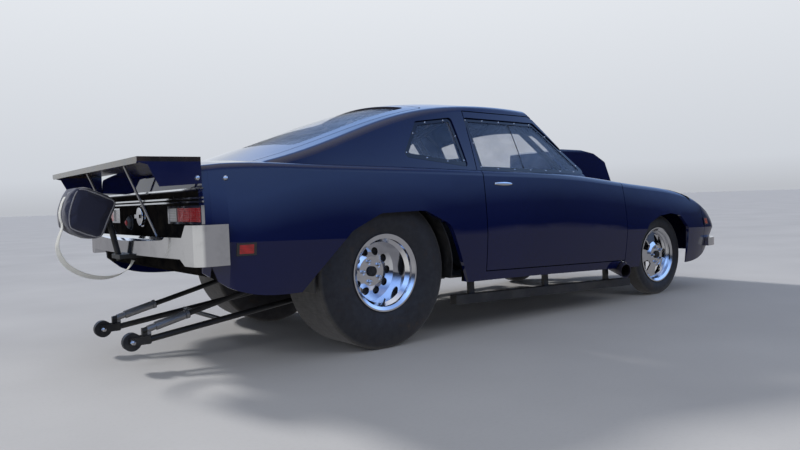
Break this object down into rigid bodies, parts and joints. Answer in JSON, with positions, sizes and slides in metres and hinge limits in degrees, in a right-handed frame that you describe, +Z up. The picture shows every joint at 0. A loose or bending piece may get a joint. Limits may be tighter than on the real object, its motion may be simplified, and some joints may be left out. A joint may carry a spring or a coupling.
{
  "type": "fastback drag racing coupe",
  "caption": "Two-door fastback coupe set up for straight-line racing, with wide rear slicks, tall hood scoop, rear spoiler, parachute pack and wheelie bars.",
  "frame": {"origin": "midway along the whole length and width, on the floor", "axes": "+X forward, +Y to the car's left, +Z up"},
  "size_m": [4.9025, 1.802, 1.4181],
  "materials": {
    "paint": "deep navy gloss",
    "glass": "clear sheet",
    "tyre": "worn black rubber",
    "chrome": "bright chrome",
    "polished": "polished",
    "black": "satin black",
    "steel": "bare steel",
    "iron": "dark cast",
    "fabric": "black woven",
    "strap": "light grey webbing",
    "red_lens": "red lens",
    "clear_lens": "clear lens",
    "dark_trim": "dark trim",
    "seat": "black vinyl",
    "fuel": "black cell"
  },
  "bodies": {
    "body": {"body_shell": "paint", "fenders": "paint", "nose_panel": "paint", "tail_panel": "paint", "fixed_glass": "glass", "floor_pan": "black", "rear_axle": "iron", "ladder_bars": "black", "front_arms": "black", "front_crossmember": "black", "frame_rails": "black", "exhaust": "steel", "roll_cage": "steel", "rear_bumper": "chrome", "spoiler": "paint", "spoiler_rods": "steel", "wheelie_bars": "black", "tail_lamps": "red_lens", "filler_cap": "dark_trim", "chute_pack": "fabric", "chute_mount": "black", "chute_strap": "strap", "headlamps": "clear_lens", "grille": "dark_trim", "front_bumper": "chrome", "engine_block": "iron", "driveshaft": "steel", "seats": "seat", "dashboard": "dark_trim", "steering_wheel": "dark_trim", "fuel_cell": "fuel", "tail_trim": "chrome", "side_markers": "red_lens"},
    "hood": {"hood": "paint"},
    "hatch": {"hatch": "paint", "hatch_glass": "glass"},
    "door_left": {"door_left": "paint", "door_glass_left": "glass"},
    "door_right": {"door_right": "paint", "door_glass_right": "glass"},
    "rear_wheel_left": {"rear_tyre_left": "tyre", "rear_rim_left": "chrome"},
    "rear_wheel_right": {"rear_tyre_right": "tyre", "rear_rim_right": "chrome"},
    "front_wheel_left": {"front_tyre_left": "tyre", "front_rim_left": "polished"},
    "front_wheel_right": {"front_tyre_right": "tyre", "front_rim_right": "polished"},
    "steer_left": {"knuckle_left": "iron"},
    "steer_right": {"knuckle_right": "iron"},
    "wheelie_left": {"wheelie_wheel_left": "tyre"},
    "wheelie_right": {"wheelie_wheel_right": "tyre"}
  },
  "joints": [
    {"name": "rear_wheel_left_spin", "type": "hinge", "parent": "body", "child": "rear_wheel_left", "pos_m": [-1.01874, 0.64, 0.405], "axis": [0, 1, 0], "continuous": true},
    {"name": "rear_wheel_right_spin", "type": "hinge", "parent": "body", "child": "rear_wheel_right", "pos_m": [-1.01874, -0.64, 0.405], "axis": [0, 1, 0], "continuous": true},
    {"name": "steer_left", "type": "hinge", "parent": "body", "child": "steer_left", "pos_m": [1.59726, 0.622, 0.302], "axis": [0, 0, 1], "range_deg": [-25, 25]},
    {"name": "steer_right", "type": "hinge", "parent": "body", "child": "steer_right", "pos_m": [1.59726, -0.622, 0.302], "axis": [0, 0, 1], "range_deg": [-25, 25]},
    {"name": "front_wheel_left_spin", "type": "hinge", "parent": "steer_left", "child": "front_wheel_left", "pos_m": [1.59726, 0.703, 0.302], "axis": [0, 1, 0], "continuous": true},
    {"name": "front_wheel_right_spin", "type": "hinge", "parent": "steer_right", "child": "front_wheel_right", "pos_m": [1.59726, -0.703, 0.302], "axis": [0, 1, 0], "continuous": true},
    {"name": "wheelie_left_spin", "type": "hinge", "parent": "body", "child": "wheelie_left", "pos_m": [-2.17874, 0.26, 0.135], "axis": [0, 1, 0], "continuous": true},
    {"name": "wheelie_right_spin", "type": "hinge", "parent": "body", "child": "wheelie_right", "pos_m": [-2.17874, -0.26, 0.135], "axis": [0, 1, 0], "continuous": true},
    {"name": "door_left_hinge", "type": "hinge", "parent": "body", "child": "door_left", "pos_m": [1.03626, 0.904, 0.6], "axis": [0, 0, -1], "range_deg": [0, 65]},
    {"name": "door_right_hinge", "type": "hinge", "parent": "body", "child": "door_right", "pos_m": [1.03626, -0.904, 0.6], "axis": [0, 0, 1], "range_deg": [0, 65]},
    {"name": "hatch_hinge", "type": "hinge", "parent": "body", "child": "hatch", "pos_m": [-0.54938, 0, 1.4059], "axis": [0, 1, 0], "range_deg": [0, 60]},
    {"name": "hood_lift", "type": "slide", "parent": "body", "child": "hood", "axis": [0, 0, 1], "range_m": [0, 0.3]}
  ],
  "couplings": [
    {"joint": "steer_right", "follows": "steer_left", "ratio": 1}
  ]
}
